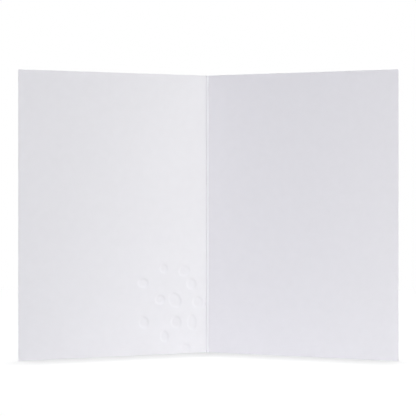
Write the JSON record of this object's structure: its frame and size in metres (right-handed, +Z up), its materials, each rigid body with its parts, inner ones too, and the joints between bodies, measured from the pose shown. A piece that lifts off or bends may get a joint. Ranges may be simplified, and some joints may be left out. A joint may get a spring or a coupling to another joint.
{
  "type": "greeting card",
  "caption": "Folded greeting card of plain white board, standing open on its bottom edge, scored down the fold and blind embossed with small ovals low on the front leaf.",
  "frame": {"origin": "under the middle of the card's footprint, at the height of its bottom edge", "axes": "+Z up the card, +X from the front leaf's side to the back leaf's side, -Y out of the hollow side towards the reader"},
  "size_m": [0.2318, 0.0528, 0.1778],
  "materials": {
    "board": "matte"
  },
  "bodies": {
    "root": {"card": "board"}
  },
  "joints": []
}
